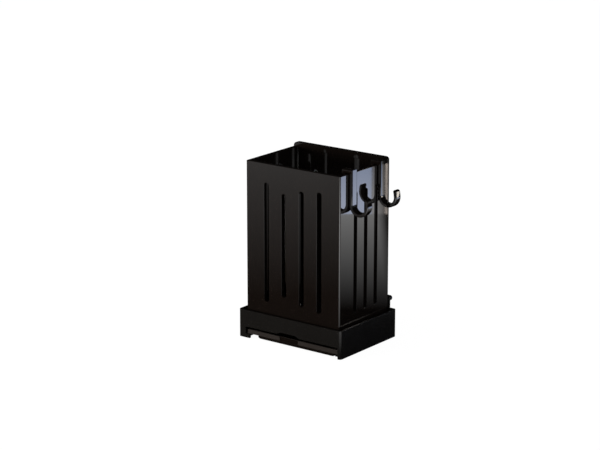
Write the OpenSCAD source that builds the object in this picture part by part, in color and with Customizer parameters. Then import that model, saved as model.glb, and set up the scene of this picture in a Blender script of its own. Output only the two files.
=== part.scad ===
// Wall utensil rack: a slotted basket on a base with a pull-out drip tray,
// two hooks on the right-hand rim and a slide-on wall plate behind.
// Millimetres, +Z up, front towards -Y. The origin is the centre of the wall
// plate's back, where it lies against the wall.

/* [Basket] */
// Outside width of the basket, left to right
basket_w = 128; // [116:1:160]
// Outside depth of the basket, front to back
basket_d = 92; // [84:1:120]
// Height of the rim above the base's top edge
basket_show = 170; // [165:1:200]
// Depth that the basket's lower edge stands inside the base
basket_seat = 10; // [9:0.5:11]
// Thickness of the basket's walls
wall_t = 5; // [4:0.1:6]
// Radius of the upright outer edges
corner_r = 1.7; // [1.6:0.1:3]
// Height of the rear wall above the rim
rear_rise = 5; // [3:0.1:8]
// How far the rear wall's top lip stands inwards
rear_lip = 1; // [0.5:0.1:2]
// Radius of the rear wall's two upper corners
rear_corner_r = 5; // [1:0.1:5]

/* [Slots] */
// Width of each slot
slot_w = 6.5; // [4:0.1:8]
// Distance from the rim down to the slots' upper ends
slot_drop = 21.5; // [18:0.5:26]
// Length of the longest slots
slot_h = 136; // [80:0.5:138]
// Number of slots in the front wall
front_slots = 4; // [2:1:4]
// Distance between the front slots' centres
front_pitch = 24; // [14:0.1:26]
// How much shorter each front slot is at either end, from left to right
front_trims = [0, 9.2, 2.7, 0]; // [0:0.1:12]
// Number of slots in each side wall
side_slots = 3; // [1:1:3]
// Distance between the side slots' centres
side_pitch = 19; // [12:0.1:24]
// How far the side slots sit behind the middle of the side walls
side_shift = 1.5; // [0:0.1:3]

/* [Drain floor] */
// Thickness of the drain floor
floor_t = 2.5; // [2:0.1:4]
// Gap between the drain floor and the basket's walls
floor_clear = 0.4; // [0.3:0.1:0.8]
// Width of each drain hole
drain_w = 4; // [3:0.1:5]
// Length of each drain hole
drain_l = 14; // [8:0.5:16]
// Number of drain holes from left to right
drain_columns = 5; // [3:1:5]
// Number of drain holes from front to back
drain_rows = 6; // [3:1:6]
// Distance between the drain holes' centres, left to right
drain_pitch_x = 19; // [17:0.5:20]
// Distance between the drain holes' centres, front to back
drain_pitch_y = 10; // [7:0.5:11]

/* [Base] */
// Gap between the basket and the base's rim, all round
moat = 4; // [3.6:0.1:5]
// Thickness of the base's walls
base_wall = 2.5; // [2:0.1:4]
// Height of the base
base_h = 32; // [31.5:0.5:40]
// Radius of the base's upright outer edges
base_corner_r = 3; // [2.8:0.1:5]
// Thickness of the shelf that carries the basket
shelf_t = 2.5; // [2:0.1:4]
// Width of the shelf's ledge inside the basket's walls
shelf_ledge = 7; // [4:0.5:10]
// Mean width of the front feet, left and right of the tray's opening
foot_w = 7; // [6:0.1:9]
// How far the tray and its opening sit to the right of the middle
notch_x = 2.6; // [0:0.1:3]
// Height of the tray's opening in the front wall
notch_h = 12.7; // [12.4:0.1:14]
// How far the left foot's toe reaches under the tray's flange
toe_w = 5.5; // [3:0.1:7]
// Thickness of the tray's rails
rail_t = 2.5; // [2:0.1:3.5]
// Height of the finger arch in the front wall's lower edge
arch_h = 2.2; // [1:0.1:4]
// How far each end of the finger arch slants
arch_slant = 4.5; // [2:0.1:6]

/* [Drip tray] */
// How far the tray's front sits behind the base's front face
tray_setback = 2; // [1:0.1:6]
// Thickness of the tray's floor and walls
tray_wall = 2; // [1.5:0.1:2.5]
// Gap between the tray's ends and the feet
tray_side_clear = 1.4; // [0.5:0.1:2]
// Gap between the tray's front and the front wall above it
fascia_gap = 3.2; // [2:0.1:3.4]
// Gap behind the tray
tray_clear = 0.4; // [0.3:0.1:1]
// Gap between the tray's flanges and the rails
rail_clear = 0.2; // [0.1:0.05:0.4]
// Height of the tray's front above the flanges' undersides
fascia_h = 4.8; // [4.6:0.1:5]
// Thickness of the flanges that ride on the rails
flange_t = 2.4; // [1.5:0.1:3]
// Width of the left flange
flange_left = 15; // [6:0.5:24]
// Width of the right flange
flange_right = 5; // [4:0.1:10]
// Height of the pan's underside above the base's feet
pan_lift = 0.6; // [0.4:0.1:1]
// Radius of the pan's two lower side edges
pan_corner_r = 3.5; // [1:0.1:3.5]
// Radius of the pan's lower front edge
pan_front_r = 3; // [1:0.1:3.2]
// Middle of the finger recess, to the right of the rack's middle
finger_x = -2; // [-10:0.5:10]
// Width of the finger recess in the tray's front
finger_w = 25; // [18:0.5:40]
// Height of the finger recess
finger_h = 4.8; // [4:0.1:5]
// Depth of the finger recess
finger_t = 0.8; // [0.5:0.1:1]

/* [Hooks] */
// Width of the hooks along the rim
hook_w = 9; // [6:0.1:10]
// Thickness of the hooks' strap
hook_t = 4.2; // [3.8:0.1:5.5]
// Thickness of the hooks' tip
hook_tip_t = 3.8; // [2.5:0.1:4.2]
// Outer radius of the hooks' bend
hook_r = 12.4; // [10:0.1:16]
// Distance from the rim down to the hooks' lowest point
hook_drop = 46; // [36:0.5:60]
// Height of the tip above the hooks' lowest point
hook_tip_h = 21; // [16:0.5:26]
// Lean of the tip towards the basket, in degrees
hook_lean = 8; // [0:1:15]
// Length of the leg inside the basket
hook_leg_h = 14; // [8:0.5:16]
// Distance between the two hooks' centres along the rim
hook_pitch = 53; // [40:0.5:54]
// How far the hooks' common middle sits behind the middle of the rim
hook_shift = 0.7; // [0:0.1:2]
// Gap between a hook and each face of the wall
hook_clear = 0.4; // [0.3:0.1:0.6]
// Gap between a hook and the rim
hook_seat = 0.3; // [0.1:0.1:0.5]

/* [Catches] */
// Width of each catch
catch_w = 11; // [9:0.5:14]
// Thickness of the catch's springy leaf
catch_t = 2; // [1.4:0.1:2.4]
// Gap between the leaf and the basket's rear face
catch_gap = 0.4; // [0.3:0.1:0.6]
// Radius of the thumb bead
bead_r = 3; // [2:0.1:3.5]
// Height of the thumb bead's centre above the base's top edge
bead_up = 11.8; // [9:0.1:14]
// Distance from the basket's rear face back to the bead's centre
bead_back = 5.3; // [4.5:0.1:6]
// How far the nib reaches into the basket's rear wall
nib_depth = 1.2; // [0.8:0.1:1.6]
// Height of the nib
nib_h = 2.5; // [2:0.1:3.5]

/* [Wall mount] */
// Distance from the wall to the basket's rear face
stand_off = 11.5; // [11:0.1:14]
// Distance from the rim down to the wall plate's centre
plate_drop = 40; // [34:0.5:60]
// Width of the wall plate
plate_w = 104; // [100:0.5:106]
// Height of the wall plate
plate_h = 44; // [40:0.5:60]
// Thickness of the wall plate
plate_t = 3.1; // [2.5:0.1:3.5]
// Radius of the wall plate's corners
plate_corner_r = 6; // [2:0.5:10]
// Distance between the two wall screw holes
screw_spacing = 88; // [86:0.5:92]
// Diameter of the wall screw holes
screw_hole_d = 4.5; // [3:0.1:5.5]
// Width of the plate's slide head
head_w = 60; // [52:0.5:64]
// Distance from the slide head's ends to the plate's upper and lower edges
head_margin = 3; // [2:0.5:4]
// Thickness of the plate's slide head
head_t = 2.8; // [2:0.1:3]
// Width of the stem behind the slide head
stem_w = 48; // [30:0.5:50]
// Gap round the slide head in the bracket
slide_clear = 0.4; // [0.2:0.05:0.5]
// Thickness of the bracket's back
bracket_t = 2; // [1.5:0.1:2.2]
// Width of the bracket's two upright rails
bracket_rail_w = 7.6; // [7:0.1:9]
// Thickness of the bracket's top stop
bracket_stop_t = 3; // [2:0.1:4]
// Diameter of the bracket screws' shanks
bracket_screw_d = 2.8; // [2:0.1:3]
// Diameter of the bracket screws' heads
bracket_head_d = 6; // [5:0.1:7]
// Thickness of the bracket screws' heads
bracket_head_t = 2; // [1.2:0.1:2.4]
// Distance between upper and lower bracket screws
bracket_screw_pitch = 28; // [20:0.5:32]

/* [Hidden] */

$fn = 48;
// Overshoot that lets a cut pass a face, and a joined piece sink into its carrier
cut = 1;
sink = 0.4;
// Play of a screw in a clearance hole, and of a round end in its groove
hole_play = 0.3;
groove_play = 0.05;

// Heights, from the wall plate's centre
rim_z = plate_drop;
ledge_z = rim_z - basket_show;
shelf_z = ledge_z - basket_seat;
ground_z = ledge_z - base_h;
basket_h = basket_show + basket_seat;

// Depths, from the wall
rear_y = -stand_off;
front_y = rear_y - basket_d;
mid_y = (rear_y + front_y) / 2;

// Basket's inside
inner_w = basket_w - 2 * wall_t;
inner_d = basket_d - 2 * wall_t;
inner_corner_r = 1.5;
slot_mid_z = rim_z - slot_drop - slot_h / 2;
side_mid_y = mid_y + side_shift;
rim_corner_r = min(rear_corner_r, rear_rise);

// Base and the tray's opening
base_w = basket_w + 2 * (moat + base_wall);
base_d = basket_d + 2 * (moat + base_wall);
base_inner_w = basket_w + 2 * moat;
base_inner_d = basket_d + 2 * moat;
base_inner_r = base_corner_r - base_wall;
base_front_y = mid_y - base_d / 2;
base_back_y = mid_y + base_inner_d / 2;
notch_half = base_w / 2 - foot_w;
notch_top_z = ground_z + notch_h;
arch_inset = 2;

// Drip tray, from its flanges' undersides
tray_half = notch_half - tray_side_clear;
tray_left = notch_x - tray_half;
tray_right = notch_x + tray_half;
fascia_top_z = notch_top_z - fascia_gap;
flange_z = fascia_top_z - fascia_h;
pan_z = ground_z + pan_lift;
pan_left = tray_left + flange_left;
pan_right = tray_right - flange_right;
tray_front_y = base_front_y + tray_setback;
tray_back_y = base_back_y - tray_clear;
rail_gap = 1.6;
rail_reach = flange_right - rail_gap;
arch_half = finger_w / 2 - arch_inset;

// Hidden catches between the basket's front foot and the base
lug_w = 12;
lug_h = 2;
lug_reach = 2.5;
lug_x = basket_w / 4;
lug_drop = 5.5;
lug_top_z = ledge_z - lug_drop;
lip_h = 2;
lip_gap = 0.3;
lip_overlap = 1.5;

// Hooks, in a frame at the outer face of the right-hand wall, on the rim
hook_x = basket_w / 2;
hook_mid_y = mid_y + hook_shift;
strap_in = hook_clear;
strap_out = strap_in + hook_t;
leg_out = -wall_t - hook_clear;
leg_in = leg_out - hook_t;
hook_top = hook_seat + hook_t;
bend_x = strap_in + hook_r;
bend_z = hook_r - hook_drop;
bend_inner_r = hook_r - (hook_t + hook_tip_t) / 2;
bend_shift = (hook_t - hook_tip_t) / 2;

// Catches at the rear corners
catch_overhang = 1;
catch_x = basket_w / 2 - catch_w / 2 + catch_overhang;
leaf_y = rear_y + catch_gap;
root_lift = 0.2;
root_y = leaf_y + catch_t / 2;
root_z = shelf_z + root_lift;
bead_z = ledge_z + bead_up;
tab_t = 3.6;
nib_w = 5;
nib_up = 4;
nib_z = ledge_z + nib_up;
nib_play = 0.5;
nib_inset = 1;
nib_x = basket_w / 2 - corner_r - nib_w / 2 - nib_inset;

// Slide-on wall mount, from the basket's rear face back to the wall
back_gap = 0.5;
bracket_d = stand_off - plate_t - back_gap;
head_front_y = rear_y + bracket_t + slide_clear;
head_back_y = head_front_y + head_t;
lip_front_y = head_back_y + slide_clear;
bracket_back_y = rear_y + bracket_d;
head_h = plate_h - 2 * head_margin;
slide_half = head_w / 2 + slide_clear;
lip_half = stem_w / 2 + 2 * slide_clear;
bracket_w = 2 * (slide_half + bracket_rail_w);
stop_z = head_h / 2 + slide_clear;
bracket_screw_x = slide_half + bracket_rail_w / 2;
pilot_floor = 1.4;
pilot_depth = bracket_d - pilot_floor;

// Rounded rectangle, centred
module rounded_rect(w, d, r) {
    square([w - 2 * r, d], center = true);
    square([w, d - 2 * r], center = true);
    for (sx = [-1, 1], sy = [-1, 1])
        translate([sx * (w / 2 - r), sy * (d / 2 - r)]) circle(r);
}

// Upright block with rounded upright edges, centred on the basket
module upright(w, d, r, low, high) {
    translate([0, mid_y, low]) linear_extrude(high - low) rounded_rect(w, d, r);
}

// Box between two corners
module block(low, high) {
    translate(low) cube(high - low);
}

// Round-ended slot, centred and standing upright
module slot_outline(w, h) {
    square([w, h - w], center = true);
    for (s = [-1, 1]) translate([0, s * (h - w) / 2]) circle(w / 2);
}

// Extrudes an outline drawn in X and Z from one depth back to another
module from_front(low_y, high_y) {
    translate([0, high_y, 0]) rotate([90, 0, 0]) linear_extrude(high_y - low_y) children();
}

// Cylinder along Y from one depth back to another
module rod_y(x, z, r, low_y, high_y) {
    translate([x, high_y, z]) rotate([90, 0, 0]) cylinder(r = r, h = high_y - low_y);
}

// Cylinder along X, centred
module rod_x(x, y, z, r, length) {
    translate([x, y, z]) rotate([0, 90, 0]) cylinder(r = r, h = length, center = true);
}

// Positions of the four bracket screws
module at_bracket_screws() {
    for (sx = [-1, 1], sz = [-1, 1])
        translate([sx * bracket_screw_x, 0, sz * bracket_screw_pitch / 2]) children();
}

// Rear wall's raised rim, with its two upper corners rounded
module rear_rim() {
    rim_low = rim_z - sink;
    rim_high = rim_z + rear_rise;
    half = basket_w / 2;
    intersection() {
        upright(basket_w, basket_d, corner_r, rim_low, rim_high);
        from_front(rear_y - wall_t - rear_lip, rear_y + cut) {
            translate([-half, rim_low]) square([basket_w, rim_high - rim_low - rim_corner_r]);
            translate([-half + rim_corner_r, rim_low])
                square([basket_w - 2 * rim_corner_r, rim_high - rim_low]);
            for (s = [-1, 1])
                translate([s * (half - rim_corner_r), rim_high - rim_corner_r]) circle(rim_corner_r);
        }
    }
}

module basket() color("#1f1d1e") {
    difference() {
        union() {
            difference() {
                upright(basket_w, basket_d, corner_r, shelf_z, rim_z);
                upright(inner_w, inner_d, inner_corner_r, shelf_z - cut, rim_z + cut);
            }
            rear_rim();
            // Lugs at the front that the base hangs on
            for (s = [-1, 1])
                block([s * lug_x - lug_w / 2, front_y - lug_reach, lug_top_z - lug_h],
                    [s * lug_x + lug_w / 2, front_y + sink, lug_top_z]);
        }
        // Front slots
        for (i = [0 : front_slots - 1])
            translate([(i - (front_slots - 1) / 2) * front_pitch, 0, slot_mid_z])
                from_front(front_y - cut, front_y + wall_t + cut)
                    slot_outline(slot_w, slot_h - 2 * front_trims[i]);
        // Side slots, through both walls
        for (i = [0 : side_slots - 1])
            translate([0, side_mid_y + (i - (side_slots - 1) / 2) * side_pitch, slot_mid_z])
                for (s = [-1, 1])
                    translate([s * (basket_w - wall_t) / 2, 0, 0]) rotate([90, 0, 90])
                        linear_extrude(wall_t + 2 * cut, center = true) slot_outline(slot_w, slot_h);
        // Screw holes and head recesses for the bracket
        at_bracket_screws() {
            rod_y(0, 0, bracket_screw_d / 2 + hole_play, rear_y - wall_t - cut, rear_y + cut);
            rod_y(0, 0, bracket_head_d / 2 + hole_play, rear_y - wall_t - cut,
                rear_y - wall_t + bracket_head_t + groove_play);
        }
        // Recesses that the catches' nibs snap into
        for (s = [-1, 1])
            block([s * nib_x - nib_w / 2 - nib_play, rear_y - nib_depth - nib_play, nib_z - nib_play],
                [s * nib_x + nib_w / 2 + nib_play, rear_y + cut, nib_z + nib_h + nib_play]);
    }
}

module drain_floor() color("#2a2829") {
    difference() {
        upright(inner_w - 2 * floor_clear, inner_d - 2 * floor_clear, inner_corner_r,
            shelf_z, shelf_z + floor_t);
        for (i = [0 : drain_columns - 1], j = [0 : drain_rows - 1])
            translate([(i - (drain_columns - 1) / 2) * drain_pitch_x,
                    mid_y + (j - (drain_rows - 1) / 2) * drain_pitch_y, shelf_z - cut])
                linear_extrude(floor_t + 2 * cut) rotate(90) slot_outline(drain_w, drain_l);
    }
}

module base() color("#191819") {
    opening_w = inner_w - 2 * shelf_ledge;
    opening_d = inner_d - 2 * shelf_ledge;
    lip_reach = moat - lug_reach + lip_overlap;
    inner_front_y = mid_y - base_inner_d / 2;
    difference() {
        upright(base_w, base_d, base_corner_r, ground_z, ledge_z);
        // Well that the basket stands in, and the tray's bay under the shelf
        upright(base_inner_w, base_inner_d, base_inner_r, shelf_z, ledge_z + cut);
        upright(base_inner_w, base_inner_d, base_inner_r, ground_z - cut, shelf_z - shelf_t);
        upright(opening_w, opening_d, base_inner_r, shelf_z - shelf_t - cut, shelf_z + cut);
        // Tray's opening in the front wall
        block([notch_x - notch_half, base_front_y - cut, ground_z - cut],
            [notch_x + notch_half, base_front_y + base_wall + cut, notch_top_z]);
        // Finger arch above the tray's recess
        from_front(base_front_y - cut, base_front_y + base_wall + cut)
            translate([finger_x, notch_top_z])
                polygon([[-arch_half - arch_slant, -cut], [-arch_half - arch_slant, 0],
                    [-arch_half, arch_h], [arch_half, arch_h],
                    [arch_half + arch_slant, 0], [arch_half + arch_slant, -cut]]);
        // Grooves for the catches' round roots
        for (s = [-1, 1])
            rod_x(s * catch_x, root_y, root_z, catch_t / 2 + groove_play, catch_w + 2 * groove_play);
    }
    // Rails for the tray's flanges
    for (s = [-1, 1]) {
        rail_inner = notch_x + s * (tray_half - rail_reach);
        rail_outer = s * (base_inner_w / 2 + sink);
        rail_mid = (rail_inner + rail_outer) / 2;
        rail_half = abs(rail_outer - rail_inner) / 2;
        intersection() {
            block([rail_mid - rail_half, base_front_y + base_wall - sink, flange_z - rail_clear - rail_t],
                [rail_mid + rail_half, base_back_y + sink, flange_z - rail_clear]);
            upright(base_w - base_wall, base_d - base_wall, base_corner_r, ground_z, ledge_z);
        }
    }
    // Toe of the left front foot
    block([notch_x - notch_half - sink, base_front_y, ground_z],
        [notch_x - notch_half + toe_w, base_front_y + base_wall, flange_z - rail_clear]);
    // Lips at the front that rest on the basket's lugs
    for (s = [-1, 1])
        block([s * lug_x - lug_w / 2, inner_front_y - sink, lug_top_z + lip_gap],
            [s * lug_x + lug_w / 2, inner_front_y + lip_reach, lug_top_z + lip_gap + lip_h]);
}

module drip_tray() color("#242223") {
    difference() {
        union() {
            // Pan
            block([pan_left, tray_front_y + sink, pan_z], [pan_right, tray_back_y, fascia_top_z]);
            // Flanges
            block([tray_left, tray_front_y + sink, flange_z],
                [tray_right, tray_back_y, flange_z + flange_t]);
            // Front, whose lower part has rounded corners
            from_front(tray_front_y, tray_front_y + tray_wall) {
                translate([tray_left, flange_z]) square([2 * tray_half, fascia_h]);
                translate([pan_left, pan_z + pan_corner_r])
                    square([pan_right - pan_left, flange_z - pan_z]);
                translate([pan_left + pan_corner_r, pan_z])
                    square([pan_right - pan_left - 2 * pan_corner_r, flange_z - pan_z]);
                for (x = [pan_left + pan_corner_r, pan_right - pan_corner_r])
                    translate([x, pan_z + pan_corner_r]) circle(pan_corner_r);
            }
        }
        block([pan_left + tray_wall, tray_front_y + tray_wall, pan_z + tray_wall],
            [pan_right - tray_wall, tray_back_y - tray_wall, fascia_top_z + cut]);
        // Rounded lower corners carried back along the pan
        for (s = [-1, 1]) {
            edge_x = s > 0 ? pan_right : pan_left;
            from_front(tray_front_y - cut, tray_back_y + cut) difference() {
                translate([edge_x - pan_corner_r, pan_z - cut])
                    square([2 * pan_corner_r, pan_corner_r + cut]);
                translate([edge_x - s * pan_corner_r, pan_z + pan_corner_r]) circle(pan_corner_r);
                translate([edge_x - s * 2 * pan_corner_r - pan_corner_r, pan_z - cut])
                    square([2 * pan_corner_r, pan_corner_r + cut]);
            }
        }
        // Rounded lower front edge
        difference() {
            block([tray_left, tray_front_y - cut, pan_z - cut],
                [tray_right, tray_front_y + pan_front_r, pan_z + pan_front_r]);
            rod_x(notch_x, tray_front_y + pan_front_r, pan_z + pan_front_r, pan_front_r,
                2 * (tray_half + cut));
        }
        // Finger recess
        block([finger_x - finger_w / 2, tray_front_y - cut, fascia_top_z - finger_h],
            [finger_x + finger_w / 2, tray_front_y + finger_t, fascia_top_z + cut]);
    }
}

// Side view of a hook: a clip over the rim, a strap and an upturned end
module hook_outline() {
    tip_rise = hook_tip_h - hook_r;
    tip_mid_r = hook_r - hook_tip_t / 2;
    // Clip and strap
    translate([leg_in, -hook_leg_h]) square([hook_t, hook_leg_h + hook_top]);
    translate([leg_in, hook_seat]) square([strap_out - leg_in, hook_t]);
    translate([strap_in, bend_z]) square([hook_t, hook_top - bend_z]);
    // Bend
    difference() {
        translate([bend_x, bend_z]) circle(hook_r);
        translate([bend_x + bend_shift, bend_z]) circle(bend_inner_r);
        translate([bend_x - 2 * hook_r, bend_z]) square([4 * hook_r, 2 * hook_r]);
    }
    // Tip
    translate([bend_x, bend_z]) translate([tip_mid_r, 0]) rotate(hook_lean) {
        translate([-hook_tip_t / 2, -sink]) square([hook_tip_t, tip_rise - hook_tip_t / 2 + sink]);
        translate([0, tip_rise - hook_tip_t / 2]) circle(hook_tip_t / 2);
    }
}

// Hook on the right-hand rim, centred at a given depth
module rim_hook(y) {
    translate([hook_x, 0, rim_z]) from_front(y - hook_w / 2, y + hook_w / 2) hook_outline();
}

module hook_front() color("#1b1a1b") rim_hook(hook_mid_y - hook_pitch / 2);

module hook_rear() color("#1b1a1b") rim_hook(hook_mid_y + hook_pitch / 2);

// Springy catch at one rear corner: a leaf, a thumb bead with a round outer end and a nib
module rear_catch(side) {
    x = side * catch_x;
    rod_x(x, root_y, root_z, catch_t / 2, catch_w);
    block([x - catch_w / 2, leaf_y, root_z], [x + catch_w / 2, leaf_y + catch_t, bead_z + tab_t / 2]);
    block([x - catch_w / 2, leaf_y, bead_z - tab_t / 2],
        [x + catch_w / 2, rear_y + bead_back, bead_z + tab_t / 2]);
    rod_x(x - side * bead_r / 2, rear_y + bead_back, bead_z, bead_r, catch_w - bead_r);
    translate([x + side * (catch_w / 2 - bead_r), rear_y + bead_back, bead_z]) sphere(bead_r);
    block([side * nib_x - nib_w / 2, rear_y - nib_depth, nib_z],
        [side * nib_x + nib_w / 2, leaf_y + sink, nib_z + nib_h]);
}

module catch_left() color("#262425") rear_catch(-1);

module catch_right() color("#262425") rear_catch(1);

module wall_plate() color("#2c2a2b") {
    difference() {
        from_front(-plate_t, 0) rounded_rect(plate_w, plate_h, plate_corner_r);
        for (s = [-1, 1])
            rod_y(s * screw_spacing / 2, 0, screw_hole_d / 2, -plate_t - cut, cut);
    }
    block([-stem_w / 2, head_back_y - sink, -head_h / 2], [stem_w / 2, -plate_t + sink, head_h / 2]);
    block([-head_w / 2, head_front_y, -head_h / 2], [head_w / 2, head_back_y, head_h / 2]);
}

module rear_bracket() color("#232122") {
    half_h = plate_h / 2;
    difference() {
        block([-bracket_w / 2, rear_y, -half_h], [bracket_w / 2, bracket_back_y, stop_z + bracket_stop_t]);
        // Slide way for the head, and the gap that its stem passes through
        block([-slide_half, rear_y + bracket_t, -half_h - cut], [slide_half, lip_front_y, stop_z]);
        block([-lip_half, rear_y + bracket_t, -half_h - cut], [lip_half, bracket_back_y + cut, stop_z]);
        // Pilot holes
        at_bracket_screws()
            rod_y(0, 0, bracket_screw_d / 2 + groove_play, rear_y - cut, rear_y + pilot_depth);
    }
}

module bracket_screws() color("#8d8f92") {
    head_y = rear_y - wall_t;
    at_bracket_screws() {
        rod_y(0, 0, bracket_head_d / 2, head_y, head_y + bracket_head_t);
        rod_y(0, 0, bracket_screw_d / 2, head_y + bracket_head_t - sink, rear_y + pilot_depth - sink);
    }
}

wall_plate();
rear_bracket();
bracket_screws();
basket();
drain_floor();
base();
drip_tray();
hook_front();
hook_rear();
catch_left();
catch_right();
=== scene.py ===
"""Wall utensil rack: a slotted basket on a base with a drip tray, hooks and a wall plate."""

import math

import bmesh
import bpy
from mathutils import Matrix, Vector


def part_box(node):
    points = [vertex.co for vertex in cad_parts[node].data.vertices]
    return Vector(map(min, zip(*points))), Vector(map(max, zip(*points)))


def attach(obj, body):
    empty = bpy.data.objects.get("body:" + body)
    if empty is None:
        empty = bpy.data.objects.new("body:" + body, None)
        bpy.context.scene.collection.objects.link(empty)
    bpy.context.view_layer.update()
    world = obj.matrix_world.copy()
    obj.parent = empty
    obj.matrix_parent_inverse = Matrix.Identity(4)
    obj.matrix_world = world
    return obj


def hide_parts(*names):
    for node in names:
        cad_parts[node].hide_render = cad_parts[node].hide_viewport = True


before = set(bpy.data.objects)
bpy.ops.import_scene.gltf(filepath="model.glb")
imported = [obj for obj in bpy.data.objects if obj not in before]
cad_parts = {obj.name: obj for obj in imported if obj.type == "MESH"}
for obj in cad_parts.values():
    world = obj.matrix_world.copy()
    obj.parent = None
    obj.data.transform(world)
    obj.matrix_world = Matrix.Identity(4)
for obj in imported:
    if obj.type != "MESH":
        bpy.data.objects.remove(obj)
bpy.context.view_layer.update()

bl_info = {
    "name": "Wall utensil rack",
    "version": (1, 0, 0),
    "blender": (4, 5, 0),
    "location": "3D View > Sidebar > Rack",
    "description": "Models and dresses a wall utensil rack round its packed frame",
    "category": "Object",
}

MM = 0.001
X, Y, Z = 0, 1, 2
QUARTER = math.pi / 2
# Overshoot of a cutter past the face that it cuts
CUT = 1.0 * MM
# Depth that a joined block sinks into its carrier
SINK = 0.4 * MM
# Distance below which two places count as one
NEAR = 0.01 * MM
# Span that holds most values of a noise
NOISE_SPAN = (0.3, 0.7)


# Sizes and colours

def length(name, description, millimetres):
    """A length that is written in millimetres and kept in metres."""
    return bpy.props.FloatProperty(
        name=name, description=description, default=millimetres * MM, min=0.0,
        precision=5, unit="LENGTH", subtype="DISTANCE")


def srgb(code):
    """Linear colour of an sRGB hex code."""
    values = [int(code[i:i + 2], 16) / 255 for i in (1, 3, 5)]
    return [v / 12.92 if v <= 0.04045 else ((v + 0.055) / 1.055) ** 2.4 for v in values]


def colour(name, description, code):
    """A colour that is written as an sRGB hex code and kept linear."""
    return bpy.props.FloatVectorProperty(
        name=name, description=description, default=srgb(code), size=3, min=0.0, max=1.0,
        subtype="COLOR")


class RackSizes(bpy.types.PropertyGroup):
    """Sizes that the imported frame's boxes don't give"""
    wall: length("Wall", "Thickness of the basket's walls", 5.0)
    upright_radius: length("Upright edges", "Radius of the basket's upright edges", 1.7)
    inner_radius: length("Inner edges", "Radius of the basket's inner upright edges", 1.5)
    rim_rise: length("Rear rim rise", "Height of the rear rim above the rest", 5.0)
    rim_lip: length("Rear rim lip", "How far the rear rim stands inwards", 1.0)
    lip_drop: length("Rear lip drop", "How far the rear rim's lip reaches below the rim", 2.0)
    rim_corner: length("Rear rim corners", "Radius of the rear rim's corners", 4.4)
    slot_width: length("Slot width", "Width of the upright slots", 6.5)
    slot_length: length("Slot length", "Length of the longest slots", 136.0)
    slot_drop: length("Slot drop", "Distance from the rim to the slots", 21.5)
    front_pitch: length("Front slot pitch", "Distance between the front slots", 24.0)
    second_trim: length("Second slot", "How much shorter it is at either end", 9.2)
    third_trim: length("Third slot", "How much shorter it is at either end", 2.7)
    side_pitch: length("Side slot pitch", "Distance between the side slots", 19.0)
    side_shift: length("Side slot shift", "How far the side slots sit behind the middle", 1.5)
    basket_edge: length("Basket edges", "Softness of the basket's edges", 0.4)
    slot_edge: length("Slot edges", "Softness of the slots' and holes' edges", 0.15)
    lug_reach: length("Lug reach", "How far the front lugs stand out", 2.5)
    lug_place: length("Lug place", "Distance of the lugs from the middle", 32.0)
    lug_width: length("Lug width", "Width of the lugs and of the lips over them", 12.0)
    lug_rise: length("Lug rise", "Height of the lugs above the basket's foot", 2.5)
    lug_height: length("Lug height", "Height of the lugs and of the lips over them", 2.0)
    lip_gap: length("Lip gap", "Gap between the lugs and the lips over them", 0.3)
    lip_reach: length("Lip reach", "How far the lips stand inwards", 3.0)
    base_wall: length("Base wall", "Thickness of the base's walls", 2.5)
    base_radius: length("Base edges", "Radius of the base's upright edges", 3.0)
    base_edge: length("Base softness", "Softness of the base's edges", 0.15)
    well_depth: length("Well depth", "Depth of the well that holds the basket", 10.0)
    shelf: length("Shelf", "Thickness of the base's shelf", 2.5)
    foot: length("Foot", "Mean width of the base's front feet", 7.0)
    notch: length("Tray opening", "Height of the tray's opening", 12.7)
    toe: length("Toe", "How far the left foot's toe reaches under the tray", 5.5)
    notch_shift: length("Opening shift", "How far the tray's opening sits to the right", 2.6)
    arch: length("Finger arch", "Height of the arch above the finger recess", 2.2)
    finger_width: length("Finger recess", "Width of the tray's finger recess", 25.0)
    finger_depth: length("Finger depth", "Depth of the tray's finger recess", 0.8)
    finger_shift: length("Finger shift", "How far the finger recess sits to the left", 2.0)
    tray_wall: length("Tray wall", "Thickness of the tray's walls", 2.0)
    fascia: length("Tray front", "Height of the tray's front strip", 4.8)
    flange: length("Tray flange", "Thickness of the tray's flanges", 2.4)
    hook_strap: length("Hook strap", "Thickness of the hooks' strap", 4.2)
    hook_tip: length("Hook tip", "Thickness of the hooks' tip", 3.8)
    hook_radius: length("Hook bend", "Outer radius of the hooks' bend", 12.4)
    hook_edge: length("Hook edges", "Radius of the hooks' long edges", 1.2)
    hook_gap: length("Hook gap", "Gap between the hooks' strap and the wall", 0.4)
    hook_leg: length("Hook leg", "Length of the hooks' inner leg below the rim", 14.3)
    leaf: length("Catch leaf", "Thickness of the catches' leaf", 2.0)
    bead: length("Catch bead", "Radius of the catches' thumb bead", 3.0)
    nib_place: length("Nib place", "Distance of the catches' nibs from the middle", 58.8)
    nib_width: length("Nib width", "Width of the catches' nibs", 5.0)
    nib_rise: length("Nib rise", "Height of the nibs above the catches' foot", 14.8)
    nib_height: length("Nib height", "Height of the catches' nibs", 2.5)
    nib_play: length("Nib play", "Gap round the nibs in their recesses", 0.5)
    nib_recess: length("Nib recess", "Depth of the nibs' recesses", 1.7)
    screw_head: length("Screw heads", "Radius of the bracket screws' heads", 3.0)
    screw_shank: length("Screw shanks", "Radius of the bracket screws' shanks", 1.4)
    screw_play: length("Screw play", "Gap round the bracket screws in the basket", 0.3)
    plate: length("Wall plate", "Thickness of the wall plate", 3.1)
    plate_corner: length("Plate corners", "Radius of the wall plate's corners", 6.0)
    plate_hole: length("Plate holes", "Radius of the wall screws' holes", 2.25)
    fine_edge: length("Fine edges", "Softness of the smaller pieces' edges", 0.35)


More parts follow.
